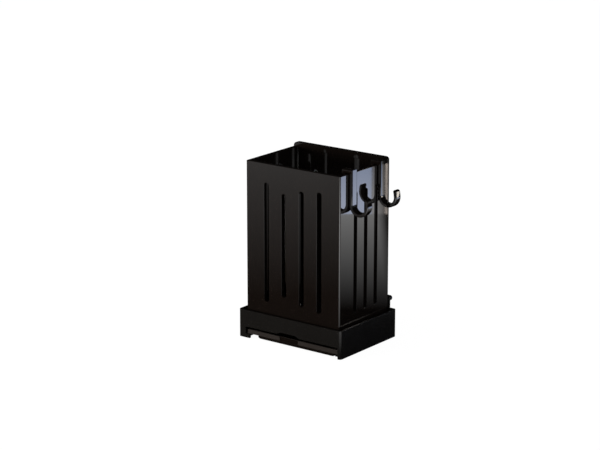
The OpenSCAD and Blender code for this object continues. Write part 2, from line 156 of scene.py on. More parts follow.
class RackColours(bpy.types.PropertyGroup):
    """Colours of the rack's plastics and steel"""
    polished: colour("Polished black", "Basket, hooks and pan", "#14100E")
    moulded: colour("Moulded black", "Base and catches", "#181716")
    satin: colour("Satin black", "Tray's front strip", "#302C2A")
    grained: colour("Grained black", "Wall plate, bracket and drain floor", "#1C1B1B")
    zinc: colour("Zinc", "Bracket screws", "#C3C6C8")


class RackStage(bpy.types.PropertyGroup):
    """Camera of the stage"""
    azimuth: bpy.props.FloatProperty(
        name="Azimuth", description="Turn of the camera to the right of the front",
        default=math.radians(37.23), subtype="ANGLE")
    elevation: bpy.props.FloatProperty(
        name="Elevation", description="Angle of the camera above the horizon",
        default=math.radians(15.30), subtype="ANGLE")
    distance: length("Distance", "Distance from the camera to its target", 2456.0)
    lens: bpy.props.FloatProperty(
        name="Lens", description="Focal length on a 36 mm sensor",
        default=132.6, min=1.0, unit="CAMERA")
    target: bpy.props.FloatVectorProperty(
        name="Target", description="Point that the camera looks at",
        default=(-24.64 * MM, -57.5 * MM, -37.37 * MM), size=3, subtype="TRANSLATION")


# Modelling steps

def pick(piece):
    """Leaves only this piece selected, in object mode."""
    if bpy.context.object is not None and bpy.context.object.mode != "OBJECT":
        bpy.ops.object.mode_set(mode="OBJECT")
    bpy.ops.object.select_all(action="DESELECT")
    if piece is not None:
        bpy.context.view_layer.objects.active = piece
        piece.select_set(True)


def settle(name):
    """Names the new primitive and puts its place into its mesh."""
    piece = bpy.context.object
    piece.name = name
    bpy.ops.object.transform_apply(location=True, rotation=True, scale=True)
    return piece


def add_block(name, low, high):
    """A block between two corners."""
    pick(None)
    low, high = Vector(low), Vector(high)
    bpy.ops.mesh.primitive_cube_add(size=1.0, location=(low + high) / 2, scale=high - low)
    return settle(name)


def add_pair(name, place, width, low, high):
    """Two blocks, so far to the left and right of the middle. Their corners give y and z."""
    half = width / 2
    return [add_block(name, (side * place - half, *low), (side * place + half, *high))
            for side in (-1, 1)]


def add_rod(name, centre, radius, depth, axis, sides=48, turn=None):
    """A rod along one axis. A turn of its own sets where its sides lie."""
    pick(None)
    along = {X: (0, QUARTER, 0), Y: (QUARTER, 0, 0), Z: (0, 0, 0)}
    bpy.ops.mesh.primitive_cylinder_add(
        vertices=sides, radius=radius, depth=depth, location=centre,
        rotation=turn or along[axis])
    return settle(name)


def select(piece, kind, test):
    """Edit mode, with only the corners, edges or faces that pass a test selected."""
    pick(piece)
    bpy.ops.object.mode_set(mode="EDIT")
    bpy.ops.mesh.select_mode(type=kind)
    bpy.ops.mesh.select_all(action="DESELECT")
    mesh = bmesh.from_edit_mesh(piece.data)
    mesh.normal_update()
    for part in {"VERT": mesh.verts, "EDGE": mesh.edges, "FACE": mesh.faces}[kind]:
        if test(part):
            part.select_set(True)
    mesh.select_flush_mode()
    bmesh.update_edit_mesh(piece.data)


def middle(edge):
    """Middle of an edge."""
    return (edge.verts[0].co + edge.verts[1].co) / 2


def runs_along(edge, axis):
    """True for an edge that runs along one axis."""
    step = edge.verts[1].co - edge.verts[0].co
    return abs(step[axis]) > 0.999 * step.length


def looks(face, axis, sign=1):
    """True for a face that looks along one axis, or against it."""
    return face.normal[axis] * sign > 0.9


def is_sharp(edge):
    """True for an edge with a marked corner."""
    return edge.is_manifold and edge.calc_face_angle() > math.radians(40)


def round_edges(piece, test, radius, segments):
    """Rounds the edges that pass a test."""
    select(piece, "EDGE", test)
    bpy.ops.mesh.bevel(
        offset=radius, segments=segments, profile=0.5, affect="EDGES", clamp_overlap=False)
    bpy.ops.object.mode_set(mode="OBJECT")


def add_prism(name, low, high, axis, radius, segments=10):
    """A block whose edges along one axis are rounded."""
    piece = add_block(name, low, high)
    round_edges(piece, lambda edge: runs_along(edge, axis), radius, segments)
    return piece


def move_part(piece, test, offset):
    """Moves the corners that pass a test."""
    select(piece, "VERT", test)
    bpy.ops.transform.translate(value=offset)
    bpy.ops.object.mode_set(mode="OBJECT")


def extrude(piece, test, offset):
    """Draws out the faces that pass a test."""
    select(piece, "FACE", test)
    bpy.ops.mesh.extrude_region_move(TRANSFORM_OT_translate={"value": offset})
    bpy.ops.object.mode_set(mode="OBJECT")


def add_slot(name, centre, width, span, depth, cut_axis, long_axis):
    """A round-ended cutter: a rod whose two halves are drawn apart."""
    sides = 30
    turn = {X: (QUARTER, 0, QUARTER), Y: (QUARTER, 0, 0), Z: (0, 0, -QUARTER)}[cut_axis]
    radius = width / 2 / math.cos(math.pi / sides)
    piece = add_rod(name, centre, radius, depth, cut_axis, sides, turn)
    for side in (-1, 1):
        offset = [0, 0, 0]
        offset[long_axis] = side * (span - width) / 2
        move_part(piece, lambda v: (v.co[long_axis] - centre[long_axis]) * side > 0, offset)
    return piece


def copy_of(piece, offset):
    """A copy with its own mesh, moved by an offset."""
    pick(piece)
    bpy.ops.object.duplicate(linked=False)
    bpy.ops.transform.translate(value=offset)
    bpy.ops.object.transform_apply(location=True, rotation=True, scale=True)
    return bpy.context.object


def row_of(piece, count, step):
    """The piece and its copies, spaced by a step about the piece's own place."""
    step = Vector(step)
    first = -step * (count - 1) / 2
    copies = [copy_of(piece, first + step * i) for i in range(count)]
    bpy.data.objects.remove(piece)
    return copies


def at_screws(piece, head_radius):
    """Copies of a piece at the bracket's four screws, in place of the piece itself."""
    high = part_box("bracket_screws")[1]
    far_x, far_z = high.x - head_radius, high.z - head_radius
    copies = [copy_of(piece, (sx * far_x, 0, sz * far_z)) for sx in (-1, 1) for sz in (-1, 1)]
    bpy.data.objects.remove(piece)
    return copies


def join(pieces):
    """One piece from several."""
    pick(pieces[0])
    for piece in pieces:
        piece.select_set(True)
    bpy.ops.object.join()
    return bpy.context.object


def combine(piece, operation, *tools):
    """Cuts or joins a piece with each tool in turn, and removes the tools."""
    for tool in tools:
        pick(piece)
        bpy.ops.object.modifier_add(type="BOOLEAN")
        step = piece.modifiers[-1]
        step.operation = operation
        step.solver = "EXACT"
        step.object = tool
        bpy.ops.object.modifier_apply(modifier=step.name)
        bpy.data.objects.remove(tool)


def smooth(piece, angle=math.radians(45)):
    """Smooth shading that keeps flat faces flat."""
    pick(piece)
    bpy.ops.object.shade_smooth_by_angle(angle=angle)
    bpy.ops.object.modifier_add(type="WEIGHTED_NORMAL")
    step = piece.modifiers[-1]
    step.mode = "FACE_AREA"
    step.weight = 100
    step.keep_sharp = True
    bpy.ops.object.modifier_apply(modifier=step.name)


def merge_flat(piece):
    """Merges doubled corners, and the faces that lie in one plane."""
    select(piece, "VERT", lambda vert: True)
    bpy.ops.mesh.remove_doubles(threshold=NEAR)
    bpy.ops.mesh.dissolve_degenerate(threshold=NEAR)
    bpy.ops.mesh.dissolve_limited(angle_limit=math.radians(0.5))
    pick(piece)


def bevel_sharp(piece, width, segments=3):
    """Softens the edges that are still sharp, as a mould does."""
    merge_flat(piece)
    bpy.ops.object.modifier_add(type="BEVEL")
    step = piece.modifiers[-1]
    step.width = width
    step.segments = segments
    step.limit_method = "ANGLE"
    step.angle_limit = math.radians(40)
    step.use_clamp_overlap = False
    step.loop_slide = False
    step.miter_outer = "MITER_SHARP"
    bpy.ops.object.modifier_apply(modifier=step.name)


def soften(piece, width, segments=3):
    """Softens the sharp edges, then shades the piece."""
    bevel_sharp(piece, width, segments)
    smooth(piece)


def dress(piece, material, body, node):
    """Gives a piece its finish, its body and the node that it stands for."""
    piece.data.materials.clear()
    piece.data.materials.append(material)
    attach(piece, body)
    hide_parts(node)


# Finishes

def add_node(owner, kind, inputs=(), **settings):
    """Adds a node with its settings, and links or sets its inputs."""
    tree = owner.node_tree
    node = tree.nodes.new(kind)
    for key, value in settings.items():
        setattr(node, key, value)
    for key, value in dict(inputs).items():
        if isinstance(value, bpy.types.NodeSocket):
            tree.links.new(value, node.inputs[key])
        else:
            node.inputs[key].default_value = value
    return node


def new_material(name):
    """A node material and its shader."""
    material = bpy.data.materials.new(name)
    material.use_nodes = True
    return material, material.node_tree.nodes["Principled BSDF"]


def noise(owner, place, millimetres, detail, roughness=0.5):
    """Noise that repeats about once in so many millimetres."""
    return add_node(owner, "ShaderNodeTexNoise", {
        "Vector": place, "Scale": 1 / (millimetres * MM), "Detail": detail,
        "Roughness": roughness}).outputs["Fac"]


def shades(owner, factor, tone, low, high):
    """Colour that varies between two multiples of a tone."""
    return add_node(owner, "ShaderNodeMix", {
        "Factor": factor, 6: [v * low for v in tone] + [1.0],
        7: [v * high for v in tone] + [1.0]}, data_type="RGBA").outputs[2]


def ramp(owner, value, start, end, low, high):
    """Runs from low to high while a value runs from start to end."""
    return add_node(owner, "ShaderNodeMapRange", {
        "Value": value, 1: start, 2: end, 3: low, 4: high}).outputs["Result"]


def maths(owner, operation, first, second):
    """Joins two values by an operation."""
    node = add_node(owner, "ShaderNodeMath", {0: first, 1: second}, operation=operation)
    return node.outputs["Value"]


def sight_rays(owner):
    """Camera rays, and all rays that make an image: camera, mirrored and see-through ones."""
    path = add_node(owner, "ShaderNodeLightPath").outputs
    direct = maths(owner, "MAXIMUM", path["Is Camera Ray"], path["Is Glossy Ray"])
    return path["Is Camera Ray"], maths(owner, "MAXIMUM", direct, path["Is Transmission Ray"])


def moulded_plastic(name, tone, gloss, peel, grain):
    """Black moulded plastic.

    Gloss gives the lowest and highest roughness, peel the strength of the skin's waves, and
    grain its spacing and depth in millimetres.
    """
    if name in bpy.data.materials:
        return bpy.data.materials[name]
    material, shader = new_material(name)
    tree = material.node_tree
    place = add_node(material, "ShaderNodeTexCoord").outputs["Object"]
    # Pigment lies a little unevenly where the melt has flowed
    flow = noise(material, place, 38, 3.0, 0.55)
    tree.links.new(shades(material, flow, tone, 0.8, 1.2), shader.inputs["Base Color"])
    # Handling leaves patches that are a little less glossy
    wear = noise(material, place, 14, 4.0, 0.6)
    tree.links.new(ramp(material, wear, *NOISE_SPAN, *gloss), shader.inputs["Roughness"])
    # The mould's skin: long shallow waves with a finer grain on them
    waves = noise(material, place, 9, 1.0)
    skin = add_node(material, "ShaderNodeBump", {
        "Strength": peel, "Distance": 0.02 * MM, "Height": waves})
    pebble = noise(material, place, grain[0], 2.0)
    surface = add_node(material, "ShaderNodeBump", {
        "Strength": 1.0, "Distance": grain[1] * MM, "Height": pebble,
        "Normal": skin.outputs["Normal"]})
    tree.links.new(surface.outputs["Normal"], shader.inputs["Normal"])
    shader.inputs["IOR"].default_value = 1.5
    return material


def polished_abs(context):
    """ABS from a polished mould: near black, with clear mirror images."""
    tone = context.scene.rack_colours.polished
    return moulded_plastic(
        "polished black ABS", tone, gloss=(0.025, 0.05), peel=0.25, grain=(2.4, 0.0003))


def moulded_abs(context):
    """ABS from a plain mould: black, with softer mirror images than the basket's."""
    tone = context.scene.rack_colours.moulded
    return moulded_plastic(
        "moulded black ABS", tone, gloss=(0.16, 0.24), peel=0.6, grain=(1.8, 0.0008))


def satin_abs(context):
    """ABS from a fine-blasted mould: a soft grey sheen with no mirror images."""
    tone = context.scene.rack_colours.satin
    return moulded_plastic(
        "satin black ABS", tone, gloss=(0.32, 0.42), peel=0.6, grain=(1.1, 0.003))


def grained_pp(context):
    """Polypropylene from an etched mould: dull black with a fine pebble grain."""
    tone = context.scene.rack_colours.grained
    return moulded_plastic(
        "grained black polypropylene", tone, gloss=(0.45, 0.6), peel=0.6, grain=(0.9, 0.02))


def zinc_steel(context):
    """Steel with a bright zinc coat: pale, faintly bluish, with fine turning marks."""
    material, shader = new_material("zinc plated steel")
    tree = material.node_tree
    tone = context.scene.rack_colours.zinc
    place = add_node(material, "ShaderNodeTexCoord").outputs["Object"]
    cloud = noise(material, place, 1.6, 3.0)
    tree.links.new(shades(material, cloud, tone, 0.86, 1.0), shader.inputs["Base Color"])
    tree.links.new(ramp(material, cloud, *NOISE_SPAN, 0.24, 0.36), shader.inputs["Roughness"])
    marks = noise(material, place, 0.3, 1.0)
    surface = add_node(material, "ShaderNodeBump", {
        "Strength": 0.4, "Distance": 0.01 * MM, "Height": marks})
    tree.links.new(surface.outputs["Normal"], shader.inputs["Normal"])
    shader.inputs["Metallic"].default_value = 1.0
    return material


# Pieces

class RACK_OT_basket(bpy.types.Operator):
    """Models the slotted basket with its raised rear rim"""
    bl_idname = "rack.basket"
    bl_label = "Basket"

    def execute(self, context):
        s = context.scene.rack_sizes
        low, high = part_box("basket")
        front = low.y + s.lug_reach
        rim = high.z - s.rim_rise
        middle_y = (front + high.y) / 2
        piece = add_prism("moulded_basket", (low.x, front, low.z), high, Z, s.upright_radius)
        # Rear rim: round upper corners, then the lower rim in front of it
        crown = add_block(
            "crown", (low.x, front - CUT, low.z - CUT), (high.x, high.y + CUT, high.z))
        round_edges(
            crown, lambda e: runs_along(e, Y) and middle(e).z > rim, s.rim_corner, 10)
        combine(piece, "INTERSECT", crown)
        lip_y = high.y - s.wall - s.rim_lip
        mouth = add_block(
            "mouth", (low.x - CUT, front - CUT, rim), (high.x + CUT, lip_y, high.z + CUT))
        # Well, which ends under the rear rim's lip
        well = add_prism(
            "well", (low.x + s.wall, front + s.wall, low.z - CUT),
            (high.x - s.wall, high.y - s.wall, rim - s.lip_drop), Z, s.inner_radius, 6)
        throat = add_prism(
            "throat", (low.x + s.wall, front + s.wall, rim - s.lip_drop - CUT),
            (high.x - s.wall, lip_y, rim + CUT), Z, s.inner_radius, 6)
        combine(well, "UNION", throat, mouth)
        merge_flat(well)
        combine(piece, "DIFFERENCE", well)
        # Lugs at the front foot
        lug_low = low.z + s.lug_rise
        combine(piece, "UNION", *add_pair(
            "lug", s.lug_place, s.lug_width, (low.y, lug_low),
            (front + SINK, lug_low + s.lug_height)))
        bevel_sharp(piece, s.basket_edge)
        # Upright slots
        slot_z = rim - s.slot_drop - s.slot_length / 2
        deep = s.wall + 2 * CUT
        for i, trim in enumerate((0, s.second_trim, s.third_trim, 0)):
            front_slot = add_slot(
                "front_slot", ((i - 1.5) * s.front_pitch, front + s.wall / 2, slot_z),
                s.slot_width, s.slot_length - 2 * trim, deep, Y, Z)
            combine(piece, "DIFFERENCE", front_slot)
        side_slot = add_slot(
            "side_slot", (0, middle_y + s.side_shift, slot_z), s.slot_width, s.slot_length,
            high.x - low.x + 2 * CUT, X, Z)
        combine(piece, "DIFFERENCE", join(row_of(side_slot, 3, (0, s.side_pitch, 0))))
        # Holes and head recesses for the bracket's screws
        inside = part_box("bracket_screws")[0].y
        head_t = 2.05 * MM
        shank_r, head_r = s.screw_shank + s.screw_play, s.screw_head + s.screw_play
        shank_hole = add_rod("hole", (0, inside, 0), shank_r, 4 * s.wall, Y, 32)
        head_hole = add_rod("hole", (0, inside, 0), head_r, 4 * head_t, Y, 32)
        move_part(head_hole, lambda v: v.co.y > inside, (0, -head_t, 0))
        for hole in (shank_hole, head_hole):
            combine(piece, "DIFFERENCE", join(at_screws(hole, s.screw_head)))
        # Recesses for the catches' nibs
        nib_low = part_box("catch_right")[0].z + s.nib_rise
        combine(piece, "DIFFERENCE", *add_pair(
            "recess", s.nib_place, s.nib_width + 2 * s.nib_play,
            (high.y - s.nib_recess, nib_low - s.nib_play),
            (high.y + CUT, nib_low + s.nib_height + s.nib_play)))
        # The left wall's slots stay sharp, so that no light comes through at a slant
        merge_flat(piece)
        round_edges(
            piece, lambda e: is_sharp(e) and middle(e).z < rim - s.slot_drop / 2
            and middle(e).x > low.x + 2 * s.wall, s.slot_edge, 3)
        smooth(piece)
        dress(piece, polished_abs(context), "rack", "basket")
        return {"FINISHED"}


class RACK_OT_drain_floor(bpy.types.Operator):
    """Models the drain floor with its rows of round-ended holes"""
    bl_idname = "rack.drain_floor"
    bl_label = "Drain floor"

    def execute(self, context):
        s = context.scene.rack_sizes
        low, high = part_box("drain_floor")
        centre = (low + high) / 2
        piece = add_prism("drain_grille", low, high, Z, s.inner_radius, 6)
        hole_width, hole_length = 4 * MM, 14 * MM
        columns, column_pitch, rows, row_pitch = 5, 19 * MM, 6, 10 * MM
        hole = add_slot(
            "hole", centre, hole_width, hole_length, high.z - low.z + 2 * CUT, Z, X)
        line = join(row_of(hole, columns, (column_pitch, 0, 0)))
        combine(piece, "DIFFERENCE", join(row_of(line, rows, (0, row_pitch, 0))))
        soften(piece, s.fine_edge)
        dress(piece, grained_pp(context), "rack", "drain_floor")
        return {"FINISHED"}


class RACK_OT_base(bpy.types.Operator):
    """Models the base: rim, shelf, feet, tray opening and rails"""
    bl_idname = "rack.base"
    bl_label = "Base"

    def execute(self, context):
        s = context.scene.rack_sizes
        low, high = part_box("base")
        w = s.base_wall
        inner_r = s.base_radius - w
        shelf_top = high.z - s.well_depth
        shelf_low = shelf_top - s.shelf
        notch_top = low.z + s.notch
        piece = add_prism("moulded_base", low, high, Z, s.base_radius, 14)
        well = add_prism(
            "well", (low.x + w, low.y + w, shelf_top), (high.x - w, high.y - w, high.z + CUT),
            Z, inner_r)
        bay = add_prism(
            "bay", (low.x + w, low.y + w, low.z - CUT), (high.x - w, high.y - w, shelf_low),
            Z, inner_r)
        mid_y = (low.y + high.y) / 2
        hole_x, hole_y = 52 * MM, 34 * MM
        hole = add_prism(
            "hole", (-hole_x, mid_y - hole_y, shelf_low - CUT),
            (hole_x, mid_y + hole_y, shelf_top + CUT), Z, inner_r)
        # Tray's opening, which is narrower below the flanges: the left foot has a toe
        tray_low, tray_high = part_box("drip_tray")
        tray_play = 0.2 * MM
        rail_high = tray_high.z - s.fascia - tray_play
        notch_left = low.x + s.foot + s.notch_shift
        notch_right = high.x - s.foot + s.notch_shift
        notch = add_block(
            "notch", (notch_left, low.y - CUT, rail_high),
            (notch_right, low.y + w + CUT, notch_top))
        lower = add_block(
            "lower", (notch_left + s.toe, low.y - CUT, low.z - CUT),
            (notch_right, low.y + w + CUT, rail_high + CUT))
        # Finger arch: its upper edge is drawn in
        inset, slant = 2.0 * MM, 4.5 * MM
        half = s.finger_width / 2 - inset + slant
        arch = add_block(
            "arch", (-s.finger_shift - half, low.y - CUT, notch_top),
            (-s.finger_shift + half, low.y + w + CUT, notch_top + s.arch))
        for side in (-1, 1):
            move_part(
                arch, lambda v: v.co.z > notch_top + s.arch / 2
                and (v.co.x + s.finger_shift) * side > 0, (-side * slant, 0, 0))
        extrude(arch, lambda f: looks(f, Z, -1), (0, 0, -CUT))
        combine(piece, "DIFFERENCE", well, bay, hole, notch, lower, arch)
        # Grooves for the catches' round roots
        catch_low, catch_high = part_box("catch_right")
        basket_low, basket_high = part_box("basket")
        root_back, root_rise, root_play = 1.4 * MM, 0.2 * MM, 0.05 * MM
        root_x = (catch_low.x + catch_high.x) / 2
        for side in (-1, 1):
            groove = add_rod(
                "groove", (side * root_x, basket_high.y + root_back, shelf_top + root_rise),
                s.leaf / 2 + root_play, catch_high.x - catch_low.x + 2 * root_play, X)
            combine(piece, "DIFFERENCE", groove)
        # Rails for the tray's flanges, fitted to the round corners
        rail_height, reach, shell = 2.5 * MM, 3.4 * MM, w / 2
        rail_low = rail_high - rail_height
        for ends in (
                (low.x + w - SINK, tray_low.x + reach), (tray_high.x - reach, high.x - w + SINK)):
            rail = add_block(
                "rail", (ends[0], low.y + w - SINK, rail_low),
                (ends[1], high.y - w + SINK, rail_high))
            room = add_prism(
                "room", (low.x + shell, low.y + shell, low.z),
                (high.x - shell, high.y - shell, high.z), Z, s.base_radius)
            combine(rail, "INTERSECT", room)
            combine(piece, "UNION", rail)
        # Lips that hold the basket's lugs down
        lip_low = basket_low.z + s.lug_rise + s.lug_height + s.lip_gap
        combine(piece, "UNION", *add_pair(
            "lip", s.lug_place, s.lug_width, (low.y + w - SINK, lip_low),
            (low.y + w + s.lip_reach, lip_low + s.lug_height)))
        soften(piece, s.base_edge)
        dress(piece, moulded_abs(context), "rack", "base")
        return {"FINISHED"}


class RACK_OT_drip_tray(bpy.types.Operator):
    """Models the pull-out drip tray"""
    bl_idname = "rack.drip_tray"
    bl_label = "Drip tray"

    def execute(self, context):
        s = context.scene.rack_sizes
        low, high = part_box("drip_tray")
        w = s.tray_wall
        left_flange, right_flange = 15 * MM, 5 * MM
        side_round, nose_round, inner_round = 3.5 * MM, 3.0 * MM, 1.0 * MM
        pan_left, pan_right = low.x + left_flange, high.x - right_flange
        ledge = high.z - s.fascia
        # Pan, with round lower edges at its sides and front
        piece = add_block("moulded_tray", (pan_left, low.y, low.z), (pan_right, high.y, high.z))
        round_edges(piece, lambda e: runs_along(e, Y) and middle(e).z < ledge, side_round, 8)
        nose = add_block(
            "nose", (low.x - CUT, low.y, low.z), (high.x + CUT, high.y + CUT, high.z + CUT))
        centre_y = (low.y + high.y) / 2
        round_edges(
            nose, lambda e: runs_along(e, X) and middle(e).z < ledge and middle(e).y < centre_y,
            nose_round, 8)
        combine(piece, "INTERSECT", nose)
        flanges = add_block(
            "flanges", (low.x, low.y + SINK, ledge), (high.x, high.y, ledge + s.flange))
        fascia = add_block("fascia", (low.x, low.y, ledge), (high.x, low.y + w, high.z))
        combine(piece, "UNION", flanges, fascia)
        hollow = add_prism(
            "hollow", (pan_left + w, low.y + w, low.z + w),
            (pan_right - w, high.y - w, high.z + CUT), Z, inner_round, 4)
        half = s.finger_width / 2
        finger = add_block(
            "finger", (-s.finger_shift - half, low.y - CUT, ledge),
            (-s.finger_shift + half, low.y + s.finger_depth, high.z + CUT))
        combine(piece, "DIFFERENCE", hollow, finger)
        merge_flat(piece)
        # The front strip and the pan below it are parted for their finishes
        select(piece, "FACE", lambda f: True)
        bpy.ops.mesh.bisect(plane_co=(0, 0, ledge), plane_no=(0, 0, 1), threshold=0.005 * MM)
        round_edges(
            piece, lambda e: is_sharp(e) and e.is_convex and middle(e).z > ledge + 0.05 * MM,
            s.fine_edge, 3)
        smooth(piece)
        dress(piece, satin_abs(context), "drip_tray", "drip_tray")
        # The pan below the blasted strip is polished; the recess's back face is made darker by
        # giving it the pan's polished material
        piece.data.materials.append(polished_abs(context))
        deep = low.y + s.finger_depth - 0.1 * MM
        select(
            piece, "FACE", lambda f: f.calc_center_median().z < ledge - 0.1 * MM
            or looks(f, Y, -1) and deep < f.calc_center_median().y < low.y + w)
        piece.active_material_index = 1
        bpy.ops.object.material_slot_assign()
        bpy.ops.object.mode_set(mode="OBJECT")
        return {"FINISHED"}


class RACK_OT_hooks(bpy.types.Operator):
    """Models the two hooks that clip over the right-hand rim"""
    bl_idname = "rack.hooks"
    bl_label = "Hooks"

    def execute(self, context):
        s = context.scene.rack_sizes
        low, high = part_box("hook_front")
        rear_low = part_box("hook_rear")[0]
        t = s.hook_strap
        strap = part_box("basket")[1].x + s.hook_gap
        bar_low = high.z - t
        leg_foot = bar_low - s.hook_leg
        mid_y = (low.y + high.y) / 2
        bend = Vector((strap + s.hook_radius, mid_y, low.z + s.hook_radius))
        # Leg, bar and strap, mitred where they meet over the rim
        leg = add_prism(
            "front_rim_hook", (low.x, low.y, leg_foot), (low.x + t, high.y, high.z),
            Z, s.hook_edge, 5)
        bar = add_prism(
            "bar", (low.x, low.y, bar_low), (strap + t, high.y, high.z), X, s.hook_edge, 5)
        drop = add_prism(
            "drop", (strap, low.y, bend.z), (strap + t, high.y, high.z), Z, s.hook_edge, 5)
        left, right = (low.x, mid_y, high.z), (strap + t, mid_y, high.z)
        for limb, corner, lean, inside in (
                (leg, left, 1, False), (bar, left, 1, True),
                (bar, right, -1, True), (drop, right, -1, False)):
            select(limb, "FACE", lambda f: True)
            bpy.ops.mesh.bisect(
                plane_co=corner, plane_no=(lean, 0, 1), clear_inner=inside,
                clear_outer=not inside, threshold=0.0001 * MM)
        piece = join([leg, bar, drop])
        select(piece, "VERT", lambda v: True)
        bpy.ops.mesh.remove_doubles(threshold=0.02 * MM)
        # Bend, drawn thinner ring by ring towards the tip
        steps = 24
        select(piece, "FACE", lambda f: looks(f, Z, -1) and f.calc_center_median().x > strap)
        bpy.ops.mesh.spin(steps=steps, angle=math.pi, center=bend, axis=(0, 1, 0), dupli=False)
        for i in range(1, steps + 1):
            turn = math.pi * i / steps
            out = Vector((-math.cos(turn), 0, -math.sin(turn)))
            thin = 1 - (1 - s.hook_tip / t) * i / steps
            select(
                piece, "VERT", lambda v: v.co.z < bend.z + NEAR
                and (v.co - bend).dot(out) > 0.999 * ((v.co - bend) * Vector((1, 0, 1))).length)
            bpy.ops.transform.resize(
                value=(thin, 1, thin), center_override=bend + out * s.hook_radius)
        # Tip, which curls back towards the basket
        tip_z, rise = bend.z, 4.2 * MM
        tip_round, foot_round = 1.8 * MM, 1.3 * MM
        for lean in (math.radians(6), math.radians(13)):
            extrude(
                piece, lambda f: looks(f, Z) and f.calc_center_median().x > bend.x
                and abs(f.calc_center_median().z - tip_z) < NEAR,
                (-math.sin(lean) * rise, 0, math.cos(lean) * rise))
            tip_z += math.cos(lean) * rise
        round_edges(
            piece, lambda e: middle(e).x > bend.x and abs(middle(e).z - tip_z) < NEAR,
            tip_round, 6)
        round_edges(piece, lambda e: abs(middle(e).z - leg_foot) < NEAR, foot_round, 5)
        smooth(piece, math.radians(50))
        twin = copy_of(piece, (0, rear_low.y - low.y, 0))
        twin.name = "rear_rim_hook"
        for hook, body in ((piece, "hook_front"), (twin, "hook_rear")):
            dress(hook, polished_abs(context), body, body)
        return {"FINISHED"}


class RACK_OT_catches(bpy.types.Operator):
    """Models the two springy catches at the rear corners"""
    bl_idname = "rack.catches"
    bl_label = "Catches"

    def execute(self, context):
        s = context.scene.rack_sizes
        low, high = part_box("catch_right")
        leaf_gap = 0.4 * MM
        leaf_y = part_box("basket")[1].y + leaf_gap
        bead_y, bead_z = high.y - s.bead, high.z - s.bead
        # Half the tab's height, its taper at the outer end and the bead's setback at the inner
        tab, taper, setback = 1.8 * MM, 1.2 * MM, 0.6 * MM
        root_z, root_round, bead_round = low.z + s.leaf / 2, 0.45 * s.leaf, 0.97 * s.bead
        piece = add_block(
            "right_spring_catch", (low.x, leaf_y, low.z),
            (high.x, leaf_y + s.leaf, bead_z - tab))
        round_edges(piece, lambda e: runs_along(e, X) and middle(e).z < root_z, root_round, 6)
        # Tab at the leaf's upper end, which carries the thumb bead
        extrude(piece, lambda f: looks(f, Z), (0, 0, 2 * tab))
        extrude(
            piece, lambda f: looks(f, Y) and f.calc_center_median().z > bead_z - tab,
            (0, bead_y - leaf_y - s.leaf, 0))
        move_part(
            piece, lambda v: v.co.y > bead_y - NEAR and v.co.x > high.x - NEAR, (-taper, 0, 0))
        bead = add_rod(
            "bead", ((low.x + setback + high.x) / 2, bead_y, bead_z), s.bead,
            high.x - low.x - setback, X, 40)
        round_edges(bead, lambda e: middle(e).x > high.x - NEAR and is_sharp(e), bead_round, 9)
        nib_half, nib_low = s.nib_width / 2, low.z + s.nib_rise
        nib = add_block(
            "nib", (s.nib_place - nib_half, low.y, nib_low),
            (s.nib_place + nib_half, leaf_y + SINK, nib_low + s.nib_height))
        combine(piece, "UNION", bead, nib)
        soften(piece, s.fine_edge)
        twin = copy_of(piece, (0, 0, 0))
        twin.name = "left_spring_catch"
        select(twin, "VERT", lambda v: True)
        bpy.ops.transform.resize(value=(-1, 1, 1), center_override=(0, 0, 0))
        bpy.ops.mesh.normals_make_consistent(inside=False)
        bpy.ops.object.mode_set(mode="OBJECT")
        smooth(twin)
        for catch, body in ((piece, "catch_right"), (twin, "catch_left")):
            dress(catch, moulded_abs(context), body, body)
        return {"FINISHED"}


class RACK_OT_wall_plate(bpy.types.Operator):
    """Models the wall plate with its slide head and screw holes"""
    bl_idname = "rack.wall_plate"
    bl_label = "Wall plate"

    def execute(self, context):
        s = context.scene.rack_sizes
        low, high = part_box("wall_plate")
        face = high.y - s.plate
        piece = add_prism(
            "moulded_wall_plate", (low.x, face, low.z), high, Y, s.plate_corner, 12)
        hole_x = 44 * MM
        for side in (-1, 1):
            hole = add_rod(
                "hole", (side * hole_x, high.y, 0), s.plate_hole, 4 * s.plate, Y, 40)
            combine(piece, "DIFFERENCE", hole)
        head_x, stem_x, head_z, head_t = 30 * MM, 24 * MM, 19 * MM, 2.8 * MM
        stem = add_block(
            "stem", (-stem_x, low.y + head_t - SINK, -head_z), (stem_x, face + SINK, head_z))
        head = add_block("head", (-head_x, low.y, -head_z), (head_x, low.y + head_t, head_z))
        combine(piece, "UNION", stem, head)
        soften(piece, s.fine_edge)
        dress(piece, grained_pp(context), "wall_plate", "wall_plate")
        return {"FINISHED"}


class RACK_OT_rear_bracket(bpy.types.Operator):
    """Models the bracket whose slide way takes the wall plate's head"""
    bl_idname = "rack.rear_bracket"
    bl_label = "Rear bracket"

    def execute(self, context):
        s = context.scene.rack_sizes
        low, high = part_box("rear_bracket")
        way_x, lip_x, corner = 30.4 * MM, 24.8 * MM, 1.5 * MM
        stop, back_t, way_t = 3.0 * MM, 2.0 * MM, 3.6 * MM
        way_top, back = high.z - stop, low.y + back_t
        way_back = back + way_t
        piece = add_prism("moulded_bracket", low, high, Y, corner, 6)
        way = add_block("way", (-way_x, back, low.z - CUT), (way_x, way_back, way_top))
        gap = add_block("gap", (-lip_x, back, low.z - CUT), (lip_x, high.y + CUT, way_top))
        combine(piece, "DIFFERENCE", way, gap)
        pilot_r, pilot_depth = 1.45 * MM, 6.5 * MM
        pilot = add_rod("pilot", (0, low.y, 0), pilot_r, 2 * pilot_depth, Y, 24)
        combine(piece, "DIFFERENCE", join(at_screws(pilot, s.screw_head)))
        soften(piece, s.fine_edge)
        dress(piece, grained_pp(context), "rack", "rear_bracket")
        return {"FINISHED"}


